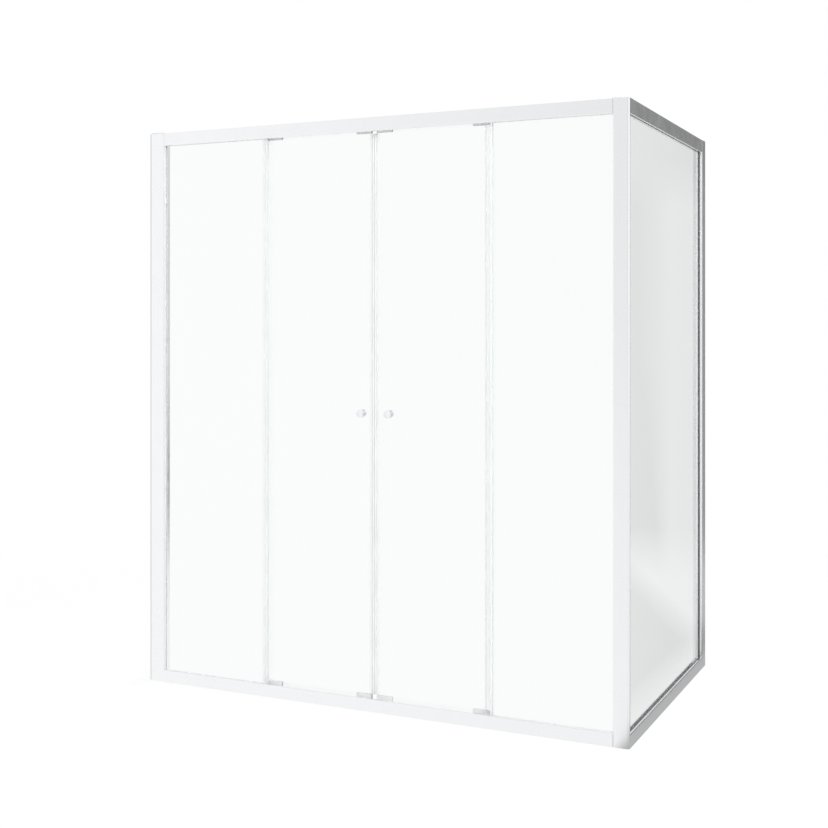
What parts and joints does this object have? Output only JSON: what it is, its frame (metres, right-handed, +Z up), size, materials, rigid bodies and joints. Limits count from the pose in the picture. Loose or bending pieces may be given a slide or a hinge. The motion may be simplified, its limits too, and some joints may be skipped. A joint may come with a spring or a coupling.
{
  "type": "corner shower screen",
  "caption": "Rectangular corner shower screen in bright aluminium profiles and clear glass, with sliding doors that meet at the middle of the front.",
  "frame": {"origin": "centre of the bounding box at floor level", "axes": "+Z up, +X along the front from the left wall to the corner post, +Y from the front to the back wall; the front faces -Y"},
  "size_m": [1.71, 1.02, 1.903],
  "materials": {
    "aluminium": "bright anodised, fine lengthwise extrusion lines",
    "clear_glass": "clear toughened, polished",
    "dark_gasket": "matt",
    "clear_vinyl": "translucent, smooth",
    "magnet_sheath": "extruded, satin",
    "grey_nylon": "moulded, fine grain",
    "grey_cap": "moulded, satin",
    "wheel_nylon": "smooth, self-lubricating",
    "stainless_steel": "plain",
    "chrome": "polished"
  },
  "bodies": {
    "frame": {"left_wall_channel": "aluminium", "left_wall_jamb": "aluminium", "side_wall_channel": "aluminium", "side_wall_jamb": "aluminium", "corner_post": "aluminium", "corner_post_cap": "grey_cap", "wall_jamb_caps": "grey_cap", "front_top_rail": "aluminium", "front_bottom_rail": "aluminium", "side_top_rail": "aluminium", "side_bottom_rail": "aluminium", "left_fixed_glass": "clear_glass", "right_fixed_glass": "clear_glass", "side_glass": "clear_glass", "glazing_gaskets": "dark_gasket", "left_edge_seal": "clear_vinyl", "right_edge_seal": "clear_vinyl", "groove_infill_strips": "aluminium", "glass_setting_blocks": "dark_gasket", "rail_end_blocks": "grey_nylon", "frame_screws": "stainless_steel", "door_stops": "dark_gasket"},
    "left_door": {"left_door_glass": "clear_glass", "left_magnet_seal": "clear_vinyl", "left_magnet_strip": "magnet_sheath", "left_door_side_seal": "clear_vinyl", "left_roller_housings": "grey_nylon", "left_wheel_axles": "stainless_steel", "left_clamp_bolts": "stainless_steel", "left_outer_knob": "chrome", "left_inner_knob": "chrome", "left_knob_stud": "stainless_steel", "left_knob_washers": "clear_vinyl"},
    "left_bottom_wheel_1": {"left_bottom_wheel_1": "wheel_nylon"},
    "left_bottom_wheel_2": {"left_bottom_wheel_2": "wheel_nylon"},
    "left_bottom_wheel_3": {"left_bottom_wheel_3": "wheel_nylon"},
    "left_bottom_wheel_4": {"left_bottom_wheel_4": "wheel_nylon"},
    "left_top_wheel_1": {"left_top_wheel_1": "wheel_nylon"},
    "left_top_wheel_2": {"left_top_wheel_2": "wheel_nylon"},
    "left_top_wheel_3": {"left_top_wheel_3": "wheel_nylon"},
    "left_top_wheel_4": {"left_top_wheel_4": "wheel_nylon"},
    "right_door": {"right_door_glass": "clear_glass", "right_magnet_seal": "clear_vinyl", "right_magnet_strip": "magnet_sheath", "right_door_side_seal": "clear_vinyl", "right_roller_housings": "grey_nylon", "right_wheel_axles": "stainless_steel", "right_clamp_bolts": "stainless_steel", "right_outer_knob": "chrome", "right_inner_knob": "chrome", "right_knob_stud": "stainless_steel", "right_knob_washers": "clear_vinyl"},
    "right_bottom_wheel_1": {"right_bottom_wheel_1": "wheel_nylon"},
    "right_bottom_wheel_2": {"right_bottom_wheel_2": "wheel_nylon"},
    "right_bottom_wheel_3": {"right_bottom_wheel_3": "wheel_nylon"},
    "right_bottom_wheel_4": {"right_bottom_wheel_4": "wheel_nylon"},
    "right_top_wheel_1": {"right_top_wheel_1": "wheel_nylon"},
    "right_top_wheel_2": {"right_top_wheel_2": "wheel_nylon"},
    "right_top_wheel_3": {"right_top_wheel_3": "wheel_nylon"},
    "right_top_wheel_4": {"right_top_wheel_4": "wheel_nylon"}
  },
  "joints": [
    {"name": "left_door_slide", "type": "slide", "parent": "frame", "child": "left_door", "axis": [-1, 0, 0], "range_m": [0, 0.317]},
    {"name": "left_bottom_wheel_1_turn", "type": "hinge", "parent": "left_door", "child": "left_bottom_wheel_1", "pos_m": [-0.014, -0.481, 0.0183], "axis": [0, 1, 0], "continuous": true},
    {"name": "left_bottom_wheel_2_turn", "type": "hinge", "parent": "left_door", "child": "left_bottom_wheel_2", "pos_m": [-0.042, -0.481, 0.0183], "axis": [0, 1, 0], "continuous": true},
    {"name": "left_bottom_wheel_3_turn", "type": "hinge", "parent": "left_door", "child": "left_bottom_wheel_3", "pos_m": [-0.3475, -0.481, 0.0183], "axis": [0, 1, 0], "continuous": true},
    {"name": "left_bottom_wheel_4_turn", "type": "hinge", "parent": "left_door", "child": "left_bottom_wheel_4", "pos_m": [-0.3755, -0.481, 0.0183], "axis": [0, 1, 0], "continuous": true},
    {"name": "left_top_wheel_1_turn", "type": "hinge", "parent": "left_door", "child": "left_top_wheel_1", "pos_m": [-0.014, -0.481, 1.8817], "axis": [0, 1, 0], "continuous": true},
    {"name": "left_top_wheel_2_turn", "type": "hinge", "parent": "left_door", "child": "left_top_wheel_2", "pos_m": [-0.042, -0.481, 1.8817], "axis": [0, 1, 0], "continuous": true},
    {"name": "left_top_wheel_3_turn", "type": "hinge", "parent": "left_door", "child": "left_top_wheel_3", "pos_m": [-0.3475, -0.481, 1.8817], "axis": [0, 1, 0], "continuous": true},
    {"name": "left_top_wheel_4_turn", "type": "hinge", "parent": "left_door", "child": "left_top_wheel_4", "pos_m": [-0.3755, -0.481, 1.8817], "axis": [0, 1, 0], "continuous": true},
    {"name": "right_door_slide", "type": "slide", "parent": "frame", "child": "right_door", "axis": [1, 0, 0], "range_m": [0, 0.317]},
    {"name": "right_bottom_wheel_1_turn", "type": "hinge", "parent": "right_door", "child": "right_bottom_wheel_1", "pos_m": [0.032, -0.481, 0.0183], "axis": [0, 1, 0], "continuous": true},
    {"name": "right_bottom_wheel_2_turn", "type": "hinge", "parent": "right_door", "child": "right_bottom_wheel_2", "pos_m": [0.06, -0.481, 0.0183], "axis": [0, 1, 0], "continuous": true},
    {"name": "right_bottom_wheel_3_turn", "type": "hinge", "parent": "right_door", "child": "right_bottom_wheel_3", "pos_m": [0.3655, -0.481, 0.0183], "axis": [0, 1, 0], "continuous": true},
    {"name": "right_bottom_wheel_4_turn", "type": "hinge", "parent": "right_door", "child": "right_bottom_wheel_4", "pos_m": [0.3935, -0.481, 0.0183], "axis": [0, 1, 0], "continuous": true},
    {"name": "right_top_wheel_1_turn", "type": "hinge", "parent": "right_door", "child": "right_top_wheel_1", "pos_m": [0.032, -0.481, 1.8817], "axis": [0, 1, 0], "continuous": true},
    {"name": "right_top_wheel_2_turn", "type": "hinge", "parent": "right_door", "child": "right_top_wheel_2", "pos_m": [0.06, -0.481, 1.8817], "axis": [0, 1, 0], "continuous": true},
    {"name": "right_top_wheel_3_turn", "type": "hinge", "parent": "right_door", "child": "right_top_wheel_3", "pos_m": [0.3655, -0.481, 1.8817], "axis": [0, 1, 0], "continuous": true},
    {"name": "right_top_wheel_4_turn", "type": "hinge", "parent": "right_door", "child": "right_top_wheel_4", "pos_m": [0.3935, -0.481, 1.8817], "axis": [0, 1, 0], "continuous": true}
  ],
  "couplings": [
    {"joint": "left_bottom_wheel_1_turn", "follows": "left_door_slide", "rad_per_m": -125},
    {"joint": "left_bottom_wheel_2_turn", "follows": "left_door_slide", "rad_per_m": -125},
    {"joint": "left_bottom_wheel_3_turn", "follows": "left_door_slide", "rad_per_m": -125},
    {"joint": "left_bottom_wheel_4_turn", "follows": "left_door_slide", "rad_per_m": -125},
    {"joint": "left_top_wheel_1_turn", "follows": "left_door_slide", "rad_per_m": 125},
    {"joint": "left_top_wheel_2_turn", "follows": "left_door_slide", "rad_per_m": 125},
    {"joint": "left_top_wheel_3_turn", "follows": "left_door_slide", "rad_per_m": 125},
    {"joint": "left_top_wheel_4_turn", "follows": "left_door_slide", "rad_per_m": 125},
    {"joint": "right_bottom_wheel_1_turn", "follows": "right_door_slide", "rad_per_m": 125},
    {"joint": "right_bottom_wheel_2_turn", "follows": "right_door_slide", "rad_per_m": 125},
    {"joint": "right_bottom_wheel_3_turn", "follows": "right_door_slide", "rad_per_m": 125},
    {"joint": "right_bottom_wheel_4_turn", "follows": "right_door_slide", "rad_per_m": 125},
    {"joint": "right_top_wheel_1_turn", "follows": "right_door_slide", "rad_per_m": -125},
    {"joint": "right_top_wheel_2_turn", "follows": "right_door_slide", "rad_per_m": -125},
    {"joint": "right_top_wheel_3_turn", "follows": "right_door_slide", "rad_per_m": -125},
    {"joint": "right_top_wheel_4_turn", "follows": "right_door_slide", "rad_per_m": -125}
  ]
}
